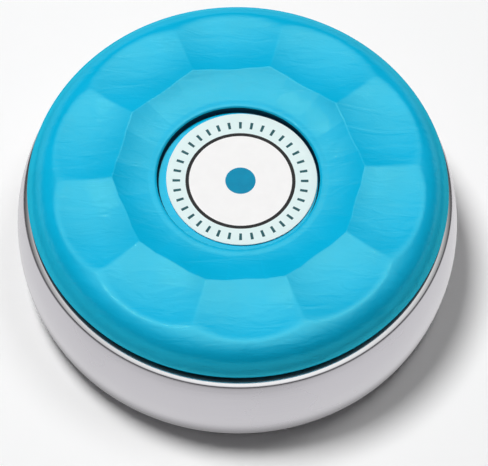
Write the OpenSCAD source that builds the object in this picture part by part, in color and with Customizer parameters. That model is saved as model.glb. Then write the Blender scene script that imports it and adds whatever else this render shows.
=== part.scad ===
// Tabletop shuffleboard puck: a turned steel weight with a screw-on plastic cap and a round label.
// The running face lies on z = 0 and the puck's axis is z.

/* [Weight] */
// Widest diameter of the weight, at its belly
weight_d = 58.74; // [50:0.01:70]
// Height of the weight from its running face to the ledge round the cap
weight_h = 14.2; // [11:0.1:18]
// Height of the belly above the running face
belly_h = 7.4; // [6:0.1:9]
// Radius of the bulging side, seen in section
side_r = 23; // [18:0.5:40]
// Rounding between the side and the ledge
ledge_round = 0.4; // [0.3:0.1:1.4]
// Rounding between the side and the running face
foot_round = 1.5; // [0.6:0.1:2.5]
// Diameter of the shallow relief in the running face
relief_d = 36; // [20:1:46]
// Depth of the relief in the running face
relief_depth = 0.4; // [0.2:0.1:0.8]

/* [Cap] */
// Diameter of the cap at its lower edge
cap_d = 56; // [48:0.01:60]
// Shadow gap between the ledge and the cap's lower edge
cap_gap = 0.8; // [0.4:0.1:1.5]
// Height of the cap's shoulder above its lower edge
shoulder_h = 5.6; // [5.4:0.1:6.4]
// Radius of the rounded shoulder
shoulder_r = 5.5; // [4:0.1:5.6]
// Wall thickness of the cap
cap_wall = 1.7; // [1.2:0.1:2.2]
// Number of thumb scoops round the top
scoop_count = 10; // [8:1:12]
// Angle of the first ridge between scoops, from the x axis
ridge_angle = 4.5; // [0:0.5:36]
// Distance from the cap's edge in to the lowest line of the scoops
scoop_inset = 7.1; // [6:0.01:8]
// Height of the scoops' lowest line above the cap's lower edge
scoop_floor_h = 4.8; // [4.4:0.1:5.2]
// Radius of a scoop along the spoke of the cap
scoop_r = 20; // [16:0.5:30]
// Radius of a scoop across the spoke of the cap
scoop_cross_r = 36; // [28:0.5:44]
// Distance from the scoops' lowest line in to the ridge round the dish
scoop_run = 5.07; // [4:0.01:6]
// Height of the dish at the rim of the label recess, above the cap's lower edge
dish_rim_h = 4.24; // [4:0.01:4.8]
// Radius of the dish between the label recess and the ridge, seen in section
dish_r = 15; // [12:0.5:40]
// Thickness of the ribs under the cap
rib_t = 1.2; // [0.8:0.1:2]

/* [Label] */
// Diameter of the label recess
recess_d = 21.4; // [16:0.1:24]
// Depth of the label recess below its rim
recess_depth = 1.08; // [0.6:0.01:1.4]
// Thickness of the label
label_t = 0.25; // [0.1:0.05:0.5]
// Clearance between the label and the recess wall, when the label is centred
label_gap = 0.75; // [0.6:0.05:1.2]
// How far the label is stuck off the cap's axis, along x
label_shift_x = 0.45; // [0:0.05:0.45]
// How far the label is stuck off the cap's axis, along y
label_shift_y = 0.3; // [0:0.05:0.35]

/* [Screw] */
// Diameter of the cap screw's shank
screw_d = 6.35; // [5:0.05:8]
// Length of the shank inside the weight
screw_grip = 9; // [6:0.1:10]
// Chamfer at the tip of the shank
tip_chamfer = 0.6; // [0.3:0.1:1]
// Diameter of the screw's moulded-in head
head_d = 8.4; // [7:0.1:9.5]
// Thickness of the screw's head
head_h = 2.4; // [1.5:0.1:3]
// Plastic between the label recess and the screw's head
head_cover = 1.2; // [0.8:0.1:1.8]
// Diameter of the boss that holds the head
boss_d = 12; // [11:0.1:16]
// How far the boss reaches below the cap's lower edge
boss_drop = 2.2; // [1.5:0.1:3.5]

/* [Clearances] */
// Radial running clearance of the screw in its holes
screw_fit = 0.05; // [0.02:0.01:0.1]
// Play of the screw's head along the axis, at each face
head_play = 0.05; // [0.02:0.01:0.1]
// Clearance between the boss and its pocket in the weight
boss_gap = 0.6; // [0.4:0.1:1]
// Clearance between the weight's raised middle and the inside of the cap
spigot_gap = 0.4; // [0.3:0.05:0.8]
// Space below the tip of the screw in its blind hole
tip_gap = 0.8; // [0.4:0.1:1.5]

/* [Hidden] */
$fn = 96;

// Overlap that makes cutters pass clean through a face
cut = 1;

// Weight: centres of the arcs of its side in section
weight_r = weight_d / 2;
side_c = [weight_r - side_r, belly_h];
foot_c = [side_c.x + leg(side_r - foot_round, belly_h - foot_round), foot_round];
ledge_rise = weight_h - ledge_round - belly_h;
ledge_c = [side_c.x + leg(side_r - ledge_round, ledge_rise), weight_h - ledge_round];
foot_join = tangent_h(foot_c, foot_round);
ledge_join = tangent_h(ledge_c, ledge_round);

// Cap: heights below are above its lower edge, which lies at cap_z
cap_z = weight_h + cap_gap;
cap_r = cap_d / 2;
shoulder_c = [cap_r - shoulder_r, shoulder_h - shoulder_r];
cavity_r = shoulder_r - cap_wall;
cavity_h = scoop_floor_h - cap_wall;
recess_r = recess_d / 2;
recess_floor = dish_rim_h - recess_depth;
web_under = recess_floor - cap_wall;
step_r = recess_r + 2 * cap_wall;

// Scoops: each is turned about its own level axis, which lies along a spoke
scoop_x = cap_r - scoop_inset;
ridge_x = scoop_x - scoop_run;
scoop_axis_h = scoop_floor_h + scoop_cross_r;
half_sector = 180 / scoop_count;
ridge_r = ridge_x / cos(half_sector);
ridge_h = scoop_floor_h + scoop_r - leg(scoop_r, scoop_run);
ridge_peak = ridge_h + scoop_cross_r - leg(scoop_cross_r, ridge_r * sin(half_sector));
// Share of a sector by which neighbouring scoops pass the ridge between them
sector_lap = 1.3;

// Dish: an arc in section from the rim of the label recess to the ridge's corner
dish_chord = [ridge_r - recess_r, ridge_peak - dish_rim_h];
dish_bow = leg(dish_r, norm(dish_chord) / 2) / norm(dish_chord);
dish_c = [recess_r + dish_chord.x / 2 - dish_bow * dish_chord.y,
          dish_rim_h + dish_chord.y / 2 + dish_bow * dish_chord.x];

// Weight: its raised middle fits inside the cap
spigot_top = cap_z + web_under - spigot_gap;
spigot_r = cap_inner_r(web_under) - spigot_gap;

// Screw: its head is held inside the boss and its shank reaches into the weight
hole_d = screw_d + 2 * screw_fit;
head_top = cap_z + recess_floor - head_cover;
head_z = head_top - head_h;
boss_z = cap_z - boss_drop;
tip_z = boss_z - screw_grip;
shank_z = tip_z + tip_chamfer;
label_r = recess_r - label_gap;

// The other short side of a right triangle
function leg(long_side, side) = sqrt(long_side * long_side - side * side);

// Height where a rounding meets the bulging side
function tangent_h(c, round) = side_c.y + (c.y - side_c.y) * side_r / (side_r - round);

// Inner radius of the cap's wall at a height above its lower edge
function cap_inner_r(h) = shoulder_c.x + leg(cavity_r, max(h - shoulder_c.y, 0));

// Height of the dish at a distance from the axis
function dish_h(r) = dish_c.y - leg(dish_r, r - dish_c.x);

module weight_section() {
    intersection() {
        translate(side_c) circle(r = side_r);
        translate([0, foot_join]) square([weight_r + cut, ledge_join - foot_join]);
    }
    translate(foot_c) circle(r = foot_round);
    square([foot_c.x, foot_join]);
    translate(ledge_c) circle(r = ledge_round);
    translate([0, ledge_join]) square([ledge_c.x, weight_h - ledge_join]);
}

module shoulder_arc(r) {
    intersection() {
        translate(shoulder_c) circle(r = r);
        translate(shoulder_c) square(r + cut);
    }
}

module blank_section() {
    square([shoulder_c.x, ridge_peak + cut]);
    shoulder_arc(shoulder_r);
    square([cap_r, shoulder_c.y]);
}

module cavity_section() {
    translate([0, -cut]) square([shoulder_c.x + cavity_r, cut + shoulder_c.y]);
    square([step_r, web_under]);
    translate([step_r, 0]) square([shoulder_c.x - step_r, cavity_h]);
    intersection() {
        shoulder_arc(cavity_r);
        square([cap_r, cavity_h]);
    }
}

// The dish is level inside the label recess, which cuts what is left there
module dish_section() {
    inner_r = recess_r - cut;
    inner_h = dish_h(inner_r);
    top = ridge_peak + 2 * cut;
    translate([0, inner_h]) square([inner_r, top - inner_h]);
    intersection() {
        translate(dish_c) circle(r = dish_r);
        translate([inner_r, 0]) square([ridge_r + cut - inner_r, top]);
    }
}

module scoop_section() {
    inner_x = ridge_x - 2 * cut;
    intersection() {
        translate([scoop_cross_r - scoop_r, scoop_x]) circle(r = scoop_r);
        translate([0, inner_x]) square([scoop_cross_r + cut, cap_r + cut - inner_x]);
    }
}

module sector() {
    reach = cap_d;
    spread = reach * tan(half_sector * sector_lap);
    linear_extrude(height = ridge_peak + 2 * cut) polygon([[0, 0], [reach, -spread], [reach, spread]]);
}

module scoop_cutter() {
    intersection() {
        sector();
        translate([0, 0, scoop_axis_h]) rotate([0, 90, 0]) rotate_extrude() scoop_section();
    }
}

module ribs() {
    for (k = [0 : scoop_count - 1]) {
        rotate(ridge_angle + k * 2 * half_sector)
            translate([step_r - cut, -rib_t / 2, web_under]) cube([cap_r, rib_t, shoulder_h]);
    }
}

module cap_shell() {
    difference() {
        rotate_extrude() blank_section();
        difference() {
            rotate_extrude() cavity_section();
            ribs();
        }
    }
}

// Space for the screw, with its clearances
module screw_space() {
    translate([0, 0, head_z - head_play]) cylinder(d = head_d + 2 * screw_fit, h = head_h + 2 * head_play);
    translate([0, 0, boss_z - cut]) cylinder(d = hole_d, h = head_z - boss_z + cut);
}

module steel_weight() {
    color([0.80, 0.80, 0.82]) difference() {
        union() {
            rotate_extrude() weight_section();
            cylinder(r = spigot_r, h = spigot_top);
        }
        translate([0, 0, -cut]) cylinder(d = relief_d, h = relief_depth + cut);
        translate([0, 0, boss_z]) cylinder(d = boss_d + 2 * boss_gap, h = spigot_top - boss_z + cut);
        translate([0, 0, tip_z - tip_gap]) cylinder(d = hole_d, h = screw_grip + tip_gap + cut);
    }
}

module cap_screw() {
    color([0.62, 0.62, 0.64]) {
        translate([0, 0, head_z]) cylinder(d = head_d, h = head_h);
        translate([0, 0, shank_z]) cylinder(d = screw_d, h = head_z - shank_z + cut);
        translate([0, 0, tip_z]) cylinder(d1 = screw_d - 2 * tip_chamfer, d2 = screw_d, h = tip_chamfer);
    }
}

module cap() {
    color([0.06, 0.70, 0.88]) difference() {
        union() {
            translate([0, 0, cap_z]) cap_shell();
            translate([0, 0, boss_z]) cylinder(d = boss_d, h = boss_drop + recess_floor);
        }
        translate([0, 0, cap_z]) {
            for (k = [0 : scoop_count - 1]) rotate(ridge_angle + (2 * k + 1) * half_sector) scoop_cutter();
            rotate_extrude() dish_section();
            translate([0, 0, recess_floor]) cylinder(r = recess_r, h = ridge_peak);
        }
        screw_space();
    }
}

module label() {
    color([0.97, 0.97, 0.96])
        translate([label_shift_x, label_shift_y, cap_z + recess_floor]) cylinder(r = label_r, h = label_t);
}

steel_weight();
cap_screw();
cap();
label();
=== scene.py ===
import math

import bmesh
import bpy
from mathutils import Matrix, Vector


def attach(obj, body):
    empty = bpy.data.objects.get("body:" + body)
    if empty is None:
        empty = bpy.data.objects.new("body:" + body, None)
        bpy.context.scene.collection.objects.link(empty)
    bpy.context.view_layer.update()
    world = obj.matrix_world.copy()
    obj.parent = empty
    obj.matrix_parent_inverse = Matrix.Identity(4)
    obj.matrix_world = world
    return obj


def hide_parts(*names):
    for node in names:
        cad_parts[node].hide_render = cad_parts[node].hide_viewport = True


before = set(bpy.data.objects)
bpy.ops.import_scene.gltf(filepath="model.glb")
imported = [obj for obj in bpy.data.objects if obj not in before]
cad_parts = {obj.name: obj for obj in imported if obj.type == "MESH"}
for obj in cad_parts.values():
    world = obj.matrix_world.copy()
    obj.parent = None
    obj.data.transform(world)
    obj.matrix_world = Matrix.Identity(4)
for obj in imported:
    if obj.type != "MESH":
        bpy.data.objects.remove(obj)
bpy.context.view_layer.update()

# Lengths of the puck are in millimetres, angles in degrees, and heights of the cap are above its lower edge
MM = 0.001

# Weight
WEIGHT_R = 29.35
WEIGHT_H = 14.2
SIDE_R = 23.0
BELLY_H = 7.4
LEDGE_ROUND = 0.4
LEDGE_RUN = 0.5
LEDGE_SLOPE = 21.0
FOOT_ROUND = 1.5
FLAT_FROM = 19.0
RELIEF_R = 18.0
RELIEF_DEPTH = 0.4
RELIEF_ROUND = 0.25
SPIGOT_R = 25.64
SPIGOT_TOP = 16.06
SPIGOT_FILLET = 0.2
RIM_ROUND = 0.3
POCKET_R = 6.6
POCKET_FLOOR = 12.8
HOLE_R = 3.225
HOLE_FLOOR = 3.0
HOLE_CHAMFER = 0.5
FLOOR_CORNER = 0.1
WEIGHT_SEGMENTS = 320

# Cap
CAP_Z = 15.0
SHOULDER_X = 22.47
SHOULDER_H = 0.1
SHOULDER_R = 5.5
EDGE_TURN = 13.0
EDGE_CHAMFER = 0.12
CAVITY_R = 3.8
CAVITY_H = 3.1
WEB_H = 1.46
STEP_R = 14.1
STEP_ROUND = 0.3
RIB_HALF = 0.6
BOSS_R = 6.0
BOSS_DROP = 2.2
BOSS_ROUND = 0.4
BOSS_CHAMFER = 0.25
BOSS_LEAD = 0.3
CHAMBER_R = 4.25
CHAMBER_FLOOR = -0.49
CHAMBER_TOP = 2.01
RECESS_R = 10.7
RECESS_FLOOR = 3.16
RECESS_ROUND = 0.12
RECESS_WALL = 0.35
DISH_RIM = 4.24
DISH_R = 15.0
DISH_FACET = 18.0
LIP_R = 11.15
LIP_ROUND = 0.45
LIP_H = 0.08
LIP_RUN = 0.8
SCOOPS = 10
SECTOR = 360 / SCOOPS
RIDGE_ANGLE = 4.5
SCOOP_X = 20.9
SCOOP_RUN = 5.07
SCOOP_R = 20.0
SCOOP_CROSS_R = 36.0
SCOOP_AXIS_H = 40.8
DISH_EDGE_SOFT = 0.08
RIDGE_SOFT = 0.1
CREST_SOFT = 0.3

# Label
LABEL_R = 9.95
LABEL_X = 0.45
LABEL_Y = 0.3
PRINT_X = 0.29
PRINT_Y = 0.0
LABEL_Z = 18.16
LABEL_T = 0.25

# Screw
SCREW_R = 3.175
THREAD_DEPTH = 0.7
THREAD_PITCH = 1.27
TIP_Z = 3.8
TIP_CHAMFER = 0.6
HEAD_Z = 14.56
HEAD_TOP = 16.96
HEAD_R = 4.2
HEAD_CHAMFER = 0.15

# Meshes: points this near are joined, in metres, and edges that turn more than this are left sharp
JOIN_WITHIN = 2e-6
SHORTEST_EDGE = 1e-7
SHARP_TURN = 32.0
CAP_SHARP_TURN = 40.0


def arc(cx, cy, r, start, end, steps):
    """Points of an arc in section, from one angle to another."""
    angles = [math.radians(start + (end - start) * i / steps) for i in range(steps + 1)]
    return [(cx + r * math.cos(a), cy + r * math.sin(a)) for a in angles]


def spread(start, end, steps):
    """Evenly spaced values from start to end, both included."""
    return [start + (end - start) * i / steps for i in range(steps + 1)]


def build(name, points, faces, materials, sharp_turn=SHARP_TURN):
    """A mesh object from points in millimetres, with normals outward and sharp edges marked."""
    mesh = bpy.data.meshes.new(name)
    mesh.from_pydata([tuple(c * MM for c in p) for p in points], [], [f[0] for f in faces])
    for polygon, face in zip(mesh.polygons, faces):
        polygon.material_index = face[1]
        polygon.use_smooth = True
    for material in materials:
        mesh.materials.append(material)
    bm = bmesh.new()
    bm.from_mesh(mesh)
    bmesh.ops.remove_doubles(bm, verts=bm.verts, dist=JOIN_WITHIN)
    bmesh.ops.dissolve_degenerate(bm, edges=bm.edges, dist=SHORTEST_EDGE)
    bmesh.ops.recalc_face_normals(bm, faces=bm.faces)
    limit = math.radians(sharp_turn)
    for edge in bm.edges:
        edge.smooth = len(edge.link_faces) == 2 and edge.calc_face_angle(0) < limit
    bm.to_mesh(mesh)
    bm.free()
    obj = bpy.data.objects.new(name, mesh)
    bpy.context.scene.collection.objects.link(obj)
    return obj


def grid_faces(columns, rows, material_of=lambda column, row: 0):
    """Quads of a grid that closes on itself round the axis; points are listed column by column."""
    faces = []
    for c in range(columns):
        n = (c + 1) % columns
        for r in range(rows - 1):
            quad = (c * rows + r, n * rows + r, n * rows + r + 1, c * rows + r + 1)
            faces.append((quad, material_of(c, r)))
    return faces


def lathe(name, section, segments, materials, material_of):
    """A turned piece: a section of (radius, height) points that starts and ends on the axis."""
    points = []
    for s in range(segments):
        a = 2 * math.pi * s / segments
        points += [(r * math.cos(a), r * math.sin(a), z) for r, z in section]
    return build(name, points, grid_faces(segments, len(section), material_of), materials)


# Shader nodes
def new_material(name):
    material = bpy.data.materials.new(name)
    material.use_nodes = True
    return material, material.node_tree.nodes, material.node_tree.links


def set_values(node, **values):
    """Sets sockets by name, with an underscore for each space."""
    for key, value in values.items():
        node.inputs[key.replace("_", " ")].default_value = value


def noise(nodes, links, vector, scale, detail=3.0, roughness=0.5, distortion=0.0):
    node = nodes.new("ShaderNodeTexNoise")
    set_values(node, Scale=scale, Detail=detail, Roughness=roughness, Distortion=distortion)
    links.new(vector, node.inputs["Vector"])
    return node.outputs["Fac"]


def ramp(nodes, links, factor, stops):
    node = nodes.new("ShaderNodeValToRGB")
    while len(node.color_ramp.elements) < len(stops):
        node.color_ramp.elements.new(0.5)
    for element, (position, colour) in zip(node.color_ramp.elements, stops):
        element.position = position
        element.color = (*colour, 1.0)
    links.new(factor, node.inputs["Fac"])
    return node.outputs["Color"]


def grey_ramp(nodes, links, factor, levels):
    return ramp(nodes, links, factor, [(position, (v, v, v)) for position, v in levels])


def to_range(nodes, links, value, low, high, new_low, new_high):
    node = nodes.new("ShaderNodeMapRange")
    set_values(node, From_Min=low, From_Max=high, To_Min=new_low, To_Max=new_high)
    links.new(value, node.inputs["Value"])
    return node.outputs["Result"]


def bump(nodes, links, height, strength, distance):
    node = nodes.new("ShaderNodeBump")
    set_values(node, Strength=strength, Distance=distance)
    links.new(height, node.inputs["Height"])
    return node.outputs["Normal"]


def combine(nodes, links, operation, one, other):
    """A number worked out from two numbers."""
    node = nodes.new("ShaderNodeMath")
    node.operation = operation
    links.new(one, node.inputs[0])
    links.new(other, node.inputs[1])
    return node.outputs["Value"]


def measure(nodes, links, operation, vector, fixed=(0.0, 0.0, 0.0)):
    """A number measured on a vector, such as its length or its distance from a fixed point."""
    node = nodes.new("ShaderNodeVectorMath")
    node.operation = operation
    node.inputs[1].default_value = fixed
    links.new(vector, node.inputs[0])
    return node.outputs["Value"]


def mix_shaders(nodes, links, share, one, other):
    """One shader, which gives way to the other as the share goes from 0 to 1."""
    node = nodes.new("ShaderNodeMixShader")
    links.new(share, node.inputs["Fac"])
    links.new(one, node.inputs[1])
    links.new(other, node.inputs[2])
    return node.outputs["Shader"]


# Materials: the part of a noise that counts, and the slopes and edges at which plastic changes its gloss
NOISE_LOW = 0.3
NOISE_HIGH = 0.7
STEEP = 0.62
LEVEL = 0.86
EDGE_FROM = 0.4
EDGE_FULL = 0.9
TOP_TINT = (0.4, 1.0, 0.75)
SIDE_TINT = (0.06, 0.6, 0.68)


def plastic(name, dark, light, roughness, flow, top_share, side_share):
    """Moulded plastic: uneven colour, flow lines, scuffs, and a gloss that differs between top and sides."""
    material, nodes, links = new_material(name)
    body = nodes["Principled BSDF"]
    body.inputs["Specular IOR Level"].default_value = 0.0
    coordinates = nodes.new("ShaderNodeTexCoord")
    place = coordinates.outputs["Object"]
    mottle = noise(nodes, links, place, scale=160.0, detail=4.0)
    links.new(ramp(nodes, links, mottle, [(0.35, dark), (0.65, light)]), body.inputs["Base Color"])
    stretch = nodes.new("ShaderNodeMapping")
    stretch.inputs["Scale"].default_value = (0.3, 1.0, 1.0)
    links.new(place, stretch.inputs["Vector"])
    lines = noise(nodes, links, stretch.outputs["Vector"], scale=650.0, detail=3.0, distortion=0.8)
    normal = bump(nodes, links, lines, strength=flow, distance=0.0002)
    links.new(normal, body.inputs["Normal"])
    gloss = nodes.new("ShaderNodeBsdfGlossy")
    links.new(normal, gloss.inputs["Normal"])
    scuff = noise(nodes, links, place, scale=520.0, detail=5.0, distortion=1.5)
    polish = to_range(nodes, links, scuff, NOISE_LOW, NOISE_HIGH, roughness - 0.03, roughness + 0.05)
    links.new(polish, gloss.inputs["Roughness"])
    split = nodes.new("ShaderNodeSeparateXYZ")
    links.new(coordinates.outputs["Normal"], split.inputs["Vector"])
    upward = split.outputs["Z"]
    links.new(ramp(nodes, links, upward, [(STEEP, SIDE_TINT), (LEVEL, TOP_TINT)]), gloss.inputs["Color"])
    facing = nodes.new("ShaderNodeLayerWeight").outputs["Facing"]
    by_edge = to_range(nodes, links, facing, EDGE_FROM, EDGE_FULL, 0.0, side_share)
    by_slope = to_range(nodes, links, upward, STEEP, LEVEL, side_share, top_share)
    share = combine(nodes, links, "MAXIMUM", by_edge, by_slope)
    surface = mix_shaders(nodes, links, share, body.outputs["BSDF"], gloss.outputs["BSDF"])
    links.new(surface, nodes["Material Output"].inputs["Surface"])
    return material


def turned_metal(name, dark, light, roughness):
    """Turned and plated steel: fine rings from the tool, with uneven polish."""
    material, nodes, links = new_material(name)
    shader = nodes["Principled BSDF"]
    place = nodes.new("ShaderNodeTexCoord").outputs["Object"]
    split = nodes.new("ShaderNodeSeparateXYZ")
    links.new(place, split.inputs["Vector"])
    flat = nodes.new("ShaderNodeCombineXYZ")
    links.new(split.outputs["X"], flat.inputs["X"])
    links.new(split.outputs["Y"], flat.inputs["Y"])
    radius = measure(nodes, links, "LENGTH", flat.outputs["Vector"])
    along = combine(nodes, links, "SUBTRACT", split.outputs["Z"], radius)
    line = nodes.new("ShaderNodeCombineXYZ")
    links.new(along, line.inputs["X"])
    rings = noise(nodes, links, line.outputs["Vector"], scale=5200.0, detail=4.0, roughness=0.6)
    patches = noise(nodes, links, place, scale=90.0, detail=3.0)
    stops = [(NOISE_LOW, dark), (NOISE_HIGH, light)]
    links.new(ramp(nodes, links, rings, stops), shader.inputs["Base Color"])
    polish = to_range(nodes, links, patches, NOISE_LOW, NOISE_HIGH, roughness - 0.03, roughness + 0.03)
    links.new(polish, shader.inputs["Roughness"])
    links.new(bump(nodes, links, rings, strength=0.12, distance=0.00002), shader.inputs["Normal"])
    shader.inputs["Metallic"].default_value = 1.0
    return material


def film(name, dark, light, roughness):
    """Printed film: a faint paper mottle in the colour and a fine grain in the surface."""
    material, nodes, links = new_material(name)
    shader = nodes["Principled BSDF"]
    place = nodes.new("ShaderNodeTexCoord").outputs["Object"]
    mottle = noise(nodes, links, place, scale=600.0, detail=4.0)
    stops = [(NOISE_LOW, dark), (NOISE_HIGH, light)]
    links.new(ramp(nodes, links, mottle, stops), shader.inputs["Base Color"])
    grain = noise(nodes, links, place, scale=4000.0, detail=2.0)
    polish = to_range(nodes, links, grain, NOISE_LOW, NOISE_HIGH, roughness - 0.04, roughness + 0.04)
    links.new(polish, shader.inputs["Roughness"])
    links.new(bump(nodes, links, grain, strength=0.05, distance=0.00002), shader.inputs["Normal"])
    return material


cap_blue = plastic("cap_blue", (0.0, 0.465, 0.76), (0.002, 0.495, 0.81),
                   roughness=0.13, flow=0.4, top_share=0.12, side_share=0.31)
# Painted shade: the recess wall and the ring of its floor are coloured dark navy where shade falls
recess_painted_shade = plastic("recess_painted_shade", (0.001, 0.012, 0.035), (0.002, 0.02, 0.05),
                      roughness=0.4, flow=0.1, top_share=0.02, side_share=0.05)
chrome = turned_metal("chrome", (0.585, 0.57, 0.605), (0.65, 0.635, 0.67), roughness=0.26)
chrome_ledge = turned_metal("chrome_ledge", (0.6, 0.6, 0.61), (0.66, 0.66, 0.67), roughness=0.16)
# Painted shade: steel coloured dark for the gap under the cap and the parts hidden inside it
steel_painted_shade = turned_metal("steel_painted_shade", (0.10, 0.10, 0.105), (0.15, 0.15, 0.155), roughness=0.42)
screw_steel = turned_metal("screw_steel", (0.36, 0.36, 0.37), (0.46, 0.46, 0.47), roughness=0.34)
label_white = film("label_white", (0.915, 0.905, 0.90), (0.94, 0.93, 0.925), roughness=0.38)
label_pale = film("label_pale", (0.74, 0.89, 0.885), (0.78, 0.91, 0.905), roughness=0.38)
ink_black = film("ink_black", (0.006, 0.006, 0.007), (0.012, 0.012, 0.013), roughness=0.4)
ink_teal = film("ink_teal", (0.0, 0.23, 0.40), (0.0, 0.27, 0.45), roughness=0.4)
ink_slate = film("ink_slate", (0.01, 0.075, 0.09), (0.016, 0.1, 0.115), roughness=0.4)


# Weight: one turned section from the middle of the underside, round the side, to the bottom of the hole
def weight_section():
    side_x = WEIGHT_R - SIDE_R
    foot_x = side_x + math.sqrt((SIDE_R - FOOT_ROUND) ** 2 - (BELLY_H - FOOT_ROUND) ** 2)
    foot_end = math.degrees(math.atan2(FOOT_ROUND - BELLY_H, foot_x - side_x))
    slope = math.radians(LEDGE_SLOPE)
    ledge_h = WEIGHT_H - LEDGE_RUN * math.tan(slope) - LEDGE_ROUND * math.cos(slope)
    ledge_x = side_x + math.sqrt((SIDE_R - LEDGE_ROUND) ** 2 - (ledge_h - BELLY_H) ** 2)
    ledge_start = math.degrees(math.atan2(ledge_h - BELLY_H, ledge_x - side_x))
    relief_lip = RELIEF_DEPTH - RELIEF_ROUND
    section = [(r, RELIEF_DEPTH) for r in spread(0.0, RELIEF_R - 2, 4)]
    section += arc(RELIEF_R - RELIEF_ROUND, relief_lip, RELIEF_ROUND, 90, 0, 5)
    section += arc(RELIEF_R + RELIEF_ROUND, relief_lip, relief_lip, 180, 270, 5)
    section += [(r, 0.0) for r in spread(FLAT_FROM, foot_x - 1, 6)]
    section += arc(foot_x, FOOT_ROUND, FOOT_ROUND, 270, 360 + foot_end, 16)
    section += arc(side_x, BELLY_H, SIDE_R, foot_end, ledge_start, 40)[1:]
    section += arc(ledge_x, ledge_h, LEDGE_ROUND, ledge_start, 90 - LEDGE_SLOPE, 14)[1:]
    inner_x = section[-1][0] - LEDGE_RUN
    section += [(r, WEIGHT_H) for r in spread(inner_x, SPIGOT_R + RIM_ROUND, 4)]
    section += arc(SPIGOT_R + SPIGOT_FILLET, WEIGHT_H + SPIGOT_FILLET, SPIGOT_FILLET, 270, 180, 4)
    section += arc(SPIGOT_R - RIM_ROUND, SPIGOT_TOP - RIM_ROUND, RIM_ROUND, 0, 90, 5)
    section += [(r, SPIGOT_TOP) for r in spread(SPIGOT_R - 1, POCKET_R + 2 * RIM_ROUND, 8)]
    section += arc(POCKET_R + RIM_ROUND, SPIGOT_TOP - RIM_ROUND, RIM_ROUND, 90, 180, 5)
    section += [(POCKET_R, POCKET_FLOOR + FLOOR_CORNER), (POCKET_R - FLOOR_CORNER, POCKET_FLOOR)]
    section += [(HOLE_R + HOLE_CHAMFER, POCKET_FLOOR), (HOLE_R, POCKET_FLOOR - HOLE_CHAMFER)]
    section += [(HOLE_R, HOLE_FLOOR + FLOOR_CORNER), (HOLE_R - FLOOR_CORNER, HOLE_FLOOR)]
    section += [(0.0, HOLE_FLOOR)]
    return section


def make_weight():
    section = weight_section()
    slope_row = max(row for row, (r, z) in enumerate(section) if z < WEIGHT_H and r > SPIGOT_R + 1)

    def finish_and_shade(column, row):
        """The ledge's slope is polished bright; inside it, under the cap, the steel is painted dark as
        shade.
        """
        if row < slope_row:
            return 0
        return 1 if row == slope_row else 2

    return lathe("weight_turned", section, WEIGHT_SEGMENTS, [chrome, chrome_ledge, steel_painted_shade], finish_and_shade)


weight = make_weight()
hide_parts("steel_weight")
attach(weight, "weight")


# Cap: columns round the axis, each a section from the recess, over the lower edge, to the chamber inside
def soft_min(a, b, soft):
    """The lower of two heights, with the edge where they cross rounded off."""
    h = max(soft - abs(a - b), 0.0) / soft
    return min(a, b) - h * h * soft / 4


def shoulder_height(r):
    return SHOULDER_H + math.sqrt(max(SHOULDER_R ** 2 - max(r - SHOULDER_X, 0.0) ** 2, 0.0))


def scoop_height(r, turn):
    """Height of one scoop at a distance from the axis, turn degrees away from the scoop's spoke."""
    x = r * math.cos(math.radians(turn))
    y = r * math.sin(math.radians(turn))
    barrel = SCOOP_CROSS_R - SCOOP_R + math.sqrt(SCOOP_R ** 2 - (x - SCOOP_X) ** 2)
    return SCOOP_AXIS_H - math.sqrt(barrel ** 2 - y ** 2)


def scoops_height(r, turn):
    """Height of the two scoops beside a ridge, turn degrees away from the ridge."""
    return soft_min(scoop_height(r, turn - SECTOR / 2), scoop_height(r, turn + SECTOR / 2), RIDGE_SOFT)


def dish_centre():
    """Centre of the dish's arc in section, from the rim of the recess to the corner of the ridge."""
    half = math.radians(SECTOR / 2)
    ridge_r = (SCOOP_X - SCOOP_RUN) / math.cos(half)
    dx = ridge_r - RECESS_R
    dh = scoop_height(ridge_r, SECTOR / 2) - DISH_RIM
    chord = math.hypot(dx, dh)
    bow = math.sqrt(DISH_R ** 2 - chord ** 2 / 4) / chord
    return RECESS_R + dx / 2 - bow * dh, DISH_RIM + dh / 2 + bow * dx


DISH_C = dish_centre()


def dish_height(r, turn):
    """Height of the dish: narrow facets, each flat across its spoke, and a low lip round the recess."""
    off = (turn + DISH_FACET / 2) % DISH_FACET - DISH_FACET / 2
    x = r * math.cos(math.radians(off))
    fall = min(max((r - LIP_R) / LIP_RUN, 0.0), 1.0)
    lip = LIP_H * (1 - fall) ** 2 * (1 + 2 * fall)
    return DISH_C[1] - math.sqrt(DISH_R ** 2 - (x - DISH_C[0]) ** 2) + lip


def cap_height(r, turn):
    if r <= SCOOP_X:
        return soft_min(dish_height(r, turn), scoops_height(r, turn), DISH_EDGE_SOFT)
    return soft_min(scoops_height(r, turn), shoulder_height(r), CREST_SOFT)


def crossing(one, other, low, high):
    """Radius at which one height passes the other, between low and high."""
    rising = one(low) < other(low)
    for _ in range(48):
        mid = (low + high) / 2
        if (one(mid) < other(mid)) == rising:
            low = mid
        else:
            high = mid
    return (low + high) / 2


def both_sides(steps):
    """Steps to both sides of an edge, and the edge itself."""
    return [-s for s in reversed(steps)] + [0.0] + list(steps)


# Radii between which the two edges lie, fine rows beside them, and the gaps from there to the wider rows
DISH_EDGE_BETWEEN = (14.0, 19.0)
CREST_BETWEEN = (SHOULDER_X, 26.8)
DISH_EDGE_STEPS = both_sides((0.03, 0.06, 0.1, 0.15, 0.22, 0.34, 0.5))
CREST_STEPS = both_sides((0.08, 0.17, 0.27, 0.38, 0.5, 0.64, 0.8, 1.0))
BEFORE_DISH_EDGE = 0.7
AFTER_DISH_EDGE = 0.75
BEFORE_CREST = 1.25

# The recess is painted dark navy as shade from near its wall up to the rounding of its rim
DARK_FROM = 10.48
DARK_ROWS = range(6, 16)


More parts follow.
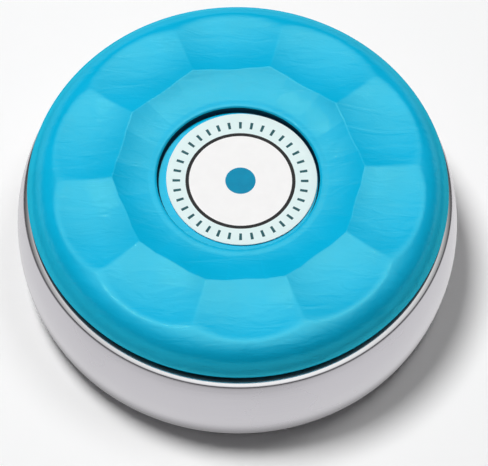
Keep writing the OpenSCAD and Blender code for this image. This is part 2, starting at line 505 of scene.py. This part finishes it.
def lower_edge():
    """Rounding that carries the shoulder's arc on, from EDGE_TURN, to the level of the lower edge."""
    turn = math.radians(EDGE_TURN)
    edge = (SHOULDER_H + SHOULDER_R * math.sin(turn)) / (1 + math.sin(turn))
    return arc(SHOULDER_X + (SHOULDER_R - edge) * math.cos(turn), edge, edge, EDGE_TURN, -90, 12)


def cap_top(turn):
    """Radii and heights of the cap's outside, from the middle of the recess to the lower edge."""

    def dish(r):
        return dish_height(r, turn)

    def scoops(r):
        return scoops_height(r, turn)

    dish_edge = crossing(dish, scoops, *DISH_EDGE_BETWEEN)
    crest = crossing(scoops, shoulder_height, *CREST_BETWEEN)
    points = [(r, RECESS_FLOOR) for r in (0.0, 2.0, 4.0, 6.0, 8.0, 9.4, DARK_FROM)]
    points += arc(RECESS_R - RECESS_ROUND, RECESS_FLOOR + RECESS_ROUND, RECESS_ROUND, 270, 360, 4)
    points += [(RECESS_R, RECESS_FLOOR + RECESS_WALL)]
    points += arc(LIP_R, dish(LIP_R) - LIP_ROUND, LIP_ROUND, 180, 90, 10)
    radii = [LIP_R + LIP_RUN * s for s in spread(0.1, 1.1, 10)]
    radii += spread(LIP_R + LIP_RUN * 1.3, dish_edge - BEFORE_DISH_EDGE, 8)
    radii += [dish_edge + s for s in DISH_EDGE_STEPS]
    radii += spread(dish_edge + AFTER_DISH_EDGE, crest - BEFORE_CREST, 14)
    radii += [crest + s for s in CREST_STEPS]
    points += [(r, cap_height(r, turn)) for r in radii]
    fall = math.degrees(math.acos((radii[-1] - SHOULDER_X) / SHOULDER_R))
    points += arc(SHOULDER_X, SHOULDER_H, SHOULDER_R, fall, EDGE_TURN, 20)[1:]
    points += lower_edge()[1:]
    return points


def cap_underside(on_rib):
    """Radii and heights of the cap's inside, from the lower edge to the top of the chamber."""
    top = math.degrees(math.asin((CAVITY_H - SHOULDER_H) / CAVITY_R))
    web = math.degrees(math.asin((WEB_H - SHOULDER_H) / CAVITY_R))
    wall_x = SHOULDER_X + CAVITY_R
    points = [(wall_x + EDGE_CHAMFER, 0.0), (wall_x, EDGE_CHAMFER)]
    points += arc(SHOULDER_X, SHOULDER_H, CAVITY_R, 3, web, 6)
    pocket = arc(SHOULDER_X, SHOULDER_H, CAVITY_R, web, top, 8)[1:]
    pocket += [(r, CAVITY_H) for r in (22.0, 19.5, 17.0, STEP_R + 0.8)]
    pocket += arc(STEP_R + STEP_ROUND, CAVITY_H - STEP_ROUND, STEP_ROUND, 90, 180, 3)
    points += [(r, WEB_H if on_rib else h) for r, h in pocket]
    points += [(STEP_R, WEB_H), (9.0, WEB_H)]
    points += arc(BOSS_R + BOSS_ROUND, WEB_H - BOSS_ROUND, BOSS_ROUND, 90, 180, 4)
    points += [(BOSS_R, -1.0), (BOSS_R, BOSS_CHAMFER - BOSS_DROP), (BOSS_R - BOSS_CHAMFER, -BOSS_DROP)]
    points += [(HOLE_R + BOSS_LEAD, -BOSS_DROP), (HOLE_R, BOSS_LEAD - BOSS_DROP), (HOLE_R, CHAMBER_FLOOR)]
    points += [(CHAMBER_R, CHAMBER_FLOOR), (CHAMBER_R, CHAMBER_TOP), (0.0, CHAMBER_TOP)]
    return points


# Columns of one sector, by their turn from its ridge; the columns at a rib's sides are there twice
RIB_TURN = 1.75
ON_RIB = [0.0, 0.12, 0.25, 0.4, 0.6, 0.85, 1.25, RIB_TURN]
OFF_RIB = [RIB_TURN, 3.4, 5.0, 6.6, 8.0, 8.7, 9.0, 9.3, 10.0, 11.4, 12.9, 14.6, 16.3]
COLUMNS = [(-SECTOR / 2, False)]
COLUMNS += [(-t, False) for t in reversed(OFF_RIB)]
COLUMNS += [(-t, True) for t in reversed(ON_RIB[1:])]
COLUMNS += [(t, True) for t in ON_RIB]
COLUMNS += [(t, False) for t in OFF_RIB]


def rib_turn(turn, r):
    """Turn of a column under the cap, where the ribs keep one thickness all along."""
    half = math.degrees(math.asin(RIB_HALF / max(r, STEP_R)))
    if abs(turn) <= RIB_TURN:
        return turn * half / RIB_TURN
    return turn


def make_cap():
    inside = {kind: cap_underside(kind) for kind in (True, False)}
    sections = []
    for turn, on_rib in COLUMNS:
        column = [(r, turn, h) for r, h in cap_top(turn)]
        column += [(r, rib_turn(turn, r), h) for r, h in inside[on_rib]]
        sections.append(column)
    points = []
    for sector in range(SCOOPS):
        for column in sections:
            for r, turn, h in column:
                a = math.radians(RIDGE_ANGLE + sector * SECTOR + turn)
                points.append((r * math.cos(a), r * math.sin(a), CAP_Z + h))
    rows = len(sections[0])
    faces = grid_faces(SCOOPS * len(COLUMNS), rows, lambda column, row: 1 if row in DARK_ROWS else 0)
    return build("cap_moulding", points, faces, [cap_blue, recess_painted_shade], CAP_SHARP_TURN)


cap = make_cap()
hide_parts("cap")
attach(cap, "cap")

# Label: a thin disc, printed a little off its centre with a ring, a plain dot and short marks
RING_IN = 6.79
RING_OUT = 7.25
DOT_R = 2.0
MARK_IN = 7.95
MARK_OUT = 8.95
LABEL_COLUMNS = 288
MARK_EVERY = 8
MARK_WIDE = 2
LABEL_EDGE = 0.06
LABEL_FLAT_R = LABEL_R - LABEL_EDGE
LABEL_BACK_ROW = 5.0
LABEL_RADII = [0.0, 0.7, 1.4, DOT_R, 3.2, 4.4, 5.6]
LABEL_RADII += [RING_IN, RING_OUT, MARK_IN, MARK_OUT, LABEL_FLAT_R]
FILM_WHITE, FILM_PALE, RING_INK, DOT_INK, MARK_INK = range(5)
LABEL_MATERIALS = [label_white, label_pale, ink_black, ink_teal, ink_slate]


def label_ink(column, row):
    """Material of one cell of the label: white in the middle, paler outside the ring, and the inks."""
    if row < LABEL_RADII.index(DOT_R):
        return DOT_INK
    if row < LABEL_RADII.index(RING_IN):
        return FILM_WHITE
    if row == LABEL_RADII.index(RING_IN):
        return RING_INK
    if row == LABEL_RADII.index(MARK_IN) and column % MARK_EVERY < MARK_WIDE:
        return MARK_INK
    return FILM_PALE


def make_label():
    top = LABEL_Z + LABEL_T
    section = [(r, top) for r in LABEL_RADII]
    section += arc(LABEL_FLAT_R, top - LABEL_EDGE, LABEL_EDGE, 90, 0, 4)[1:]
    section += [(LABEL_R, LABEL_Z), (LABEL_BACK_ROW, LABEL_Z), (0.0, LABEL_Z)]
    points = []
    for column in range(LABEL_COLUMNS):
        a = 2 * math.pi * column / LABEL_COLUMNS
        for r, z in section:
            share = min(max((r - MARK_OUT) / (LABEL_FLAT_R - MARK_OUT), 0.0), 1.0)
            x = PRINT_X + (LABEL_X - PRINT_X) * share
            y = PRINT_Y + (LABEL_Y - PRINT_Y) * share
            points.append((x + r * math.cos(a), y + r * math.sin(a), z))
    faces = grid_faces(LABEL_COLUMNS, len(section), label_ink)
    return build("label_disc", points, faces, LABEL_MATERIALS)


label = make_label()
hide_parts("label")
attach(label, "cap")

# Screw: a rolled thread that runs out at the tip, under a plain head
SCREW_SEGMENTS = 64
THREAD_ROWS = 130
FLANK_RISE = 1.35
FLANK_START = 0.15


def thread_radius(z, turn):
    phase = ((z - TIP_Z) / THREAD_PITCH - turn) % 1.0
    flank = min(max(abs(2 * phase - 1) * FLANK_RISE - FLANK_START, 0.0), 1.0)
    radius = SCREW_R - THREAD_DEPTH * (1 - flank)
    return min(radius, SCREW_R - TIP_CHAMFER + max(z - TIP_Z, 0.0))


def make_screw():
    heights = spread(TIP_Z, HEAD_Z, THREAD_ROWS)
    head = [(HEAD_R - HEAD_CHAMFER, HEAD_Z), (HEAD_R, HEAD_Z + HEAD_CHAMFER)]
    head += [(HEAD_R, HEAD_TOP - HEAD_CHAMFER), (HEAD_R - HEAD_CHAMFER, HEAD_TOP), (0.0, HEAD_TOP)]
    points = []
    for s in range(SCREW_SEGMENTS):
        turn = s / SCREW_SEGMENTS
        a = 2 * math.pi * turn
        column = [(0.0, TIP_Z)] + [(thread_radius(z, turn), z) for z in heights] + head
        points += [(r * math.cos(a), r * math.sin(a), z) for r, z in column]
    return build("screw_threaded", points, grid_faces(SCREW_SEGMENTS, len(column)), [screw_steel])


screw = make_screw()
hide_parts("cap_screw")
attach(screw, "screw")

# Floor: plain and pale, and it keeps the puck's shadow; sizes of the floor and the lamps are in metres
FLOOR_HALF = 1.5
FLOOR_DROP = 0.00002
FLOOR_COLOUR = (0.95, 0.95, 0.95, 1.0)

# The floor as the puck mirrors it is a painted glow, seen only in reflections: levels by distance from a
# point, in shares of a reach, dimmed at the foot as painted shade
GLOW_CENTRE = (0.0, 0.012, 0.0)
GLOW_REACH = 0.2
GLOW_LEVELS = [(0.0, 0.9), (0.28, 0.9), (0.31, 0.74), (0.34, 0.52), (0.37, 0.4), (0.46, 0.4), (0.62, 0.5)]
FOOT_IN = 0.0286
FOOT_OUT = 0.0304
FOOT_STRENGTH = 0.4


def floor_paper():
    material, nodes, links = new_material("floor_paper")
    nodes.remove(nodes["Principled BSDF"])
    paper = nodes.new("ShaderNodeBsdfDiffuse")
    paper.inputs["Color"].default_value = FLOOR_COLOUR
    place = nodes.new("ShaderNodeTexCoord").outputs["Object"]
    distance = measure(nodes, links, "DISTANCE", place, GLOW_CENTRE)
    share = to_range(nodes, links, distance, 0.0, GLOW_REACH, 0.0, 1.0)
    from_axis = measure(nodes, links, "LENGTH", place)
    glow = nodes.new("ShaderNodeEmission")
    links.new(grey_ramp(nodes, links, share, GLOW_LEVELS), glow.inputs["Color"])
    # Painted shade: the glow is dimmed near the foot, where the puck's contact shadow falls
    strength = to_range(nodes, links, from_axis, FOOT_IN, FOOT_OUT, FOOT_STRENGTH, 1.0)
    links.new(strength, glow.inputs["Strength"])
    rays = nodes.new("ShaderNodeLightPath")
    direct = to_range(nodes, links, rays.outputs["Diffuse Depth"], 0.0, 1.0, 1.0, 0.0)
    mirrored = combine(nodes, links, "MULTIPLY", rays.outputs["Is Glossy Ray"], direct)
    surface = mix_shaders(nodes, links, mirrored, paper.outputs["BSDF"], glow.outputs["Emission"])
    links.new(surface, nodes["Material Output"].inputs["Surface"])
    return material


def make_floor():
    mesh = bpy.data.meshes.new("floor")
    signs = [(-1, -1), (1, -1), (1, 1), (-1, 1)]
    mesh.from_pydata([(x * FLOOR_HALF, y * FLOOR_HALF, 0.0) for x, y in signs], [], [(0, 1, 2, 3)])
    mesh.materials.append(floor_paper())
    floor = bpy.data.objects.new("floor", mesh)
    floor.location.z = -FLOOR_DROP
    bpy.context.scene.collection.objects.link(floor)


make_floor()

# Studio light: a key lamp behind on the left, a weaker one on the right, and a little light all round
LAMP_DISTANCE = 1.0
LAMP_SIZE = 0.3
FILL_COLOUR = (0.075, 0.075, 0.075, 1.0)
SEEN_COLOUR = (1.0, 1.0, 1.0, 1.0)

# The room as the puck mirrors it: pale at the horizon, dark above it, and bright at the ceiling
CEILING_AXIS = (0.05, 0.02, 1.0)
CEILING_LEVELS = [(0.0, 0.5), (0.08, 0.42), (0.17, 0.15), (0.27, 0.05), (0.5, 0.06), (0.64, 0.17)]
CEILING_LEVELS += [(0.71, 0.32), (0.77, 0.5), (0.87, 0.9), (0.94, 1.2), (0.98, 1.4), (1.0, 1.5)]


def make_world():
    world = bpy.data.worlds.new("studio")
    bpy.context.scene.world = world
    world.use_nodes = True
    nodes = world.node_tree.nodes
    links = world.node_tree.links
    direction = nodes.new("ShaderNodeTexCoord").outputs["Generated"]
    height = measure(nodes, links, "DOT_PRODUCT", direction, Vector(CEILING_AXIS).normalized())
    room = nodes["Background"]
    links.new(grey_ramp(nodes, links, height, CEILING_LEVELS), room.inputs["Color"])
    fill = nodes.new("ShaderNodeBackground")
    fill.inputs["Color"].default_value = FILL_COLOUR
    seen = nodes.new("ShaderNodeBackground")
    seen.inputs["Color"].default_value = SEEN_COLOUR
    rays = nodes.new("ShaderNodeLightPath")
    mirrored = rays.outputs["Is Glossy Ray"]
    light = mix_shaders(nodes, links, mirrored, fill.outputs["Background"], room.outputs["Background"])
    surface = mix_shaders(nodes, links, rays.outputs["Is Camera Ray"], light, seen.outputs["Background"])
    links.new(surface, nodes["World Output"].inputs["Surface"])


def make_lamp(name, direction, power):
    data = bpy.data.lights.new(name, "AREA")
    data.shape = "DISK"
    data.size = LAMP_SIZE
    data.energy = power
    lamp = bpy.data.objects.new(name, data)
    bpy.context.scene.collection.objects.link(lamp)
    towards = Vector(direction).normalized()
    lamp.location = towards * LAMP_DISTANCE
    lamp.rotation_mode = "QUATERNION"
    lamp.rotation_quaternion = towards.to_track_quat("Z", "Y")
    lamp.visible_glossy = False


make_world()
make_lamp("key", (-0.28, 0.19, 1.0), power=7.9)
make_lamp("second", (0.3, 0.19, 1.0), power=1.6)

# Camera: looks down at the puck from in front
CAMERA_ELEVATION = 60.4
CAMERA_DISTANCE = 600.0
CAMERA_ROLL = 1.5
FOCAL_PIXELS = 4536.0
IMAGE_WIDTH = 488
SENSOR_WIDTH = 36.0
NEAREST = 0.05
FARTHEST = 10.0
AIM = (0.917, -4.535, 12.42)


def make_camera():
    data = bpy.data.cameras.new("camera")
    data.sensor_fit = "HORIZONTAL"
    data.sensor_width = SENSOR_WIDTH
    data.lens = SENSOR_WIDTH * FOCAL_PIXELS / IMAGE_WIDTH
    data.clip_start = NEAREST
    data.clip_end = FARTHEST
    camera = bpy.data.objects.new("camera", data)
    bpy.context.scene.collection.objects.link(camera)
    e = math.radians(CAMERA_ELEVATION)
    back = Vector((0.0, -math.cos(e), math.sin(e)))
    spot = Vector((0.0, 0.0, CAP_Z)) + back * CAMERA_DISTANCE
    look = (Vector(AIM) - spot).normalized().to_track_quat("-Z", "Y").to_matrix().to_4x4()
    roll = Matrix.Rotation(math.radians(CAMERA_ROLL), 4, "Z")
    camera.matrix_world = Matrix.Translation(spot * MM) @ look @ roll
    bpy.context.scene.camera = camera


make_camera()
bpy.context.scene.view_settings.view_transform = "Standard"
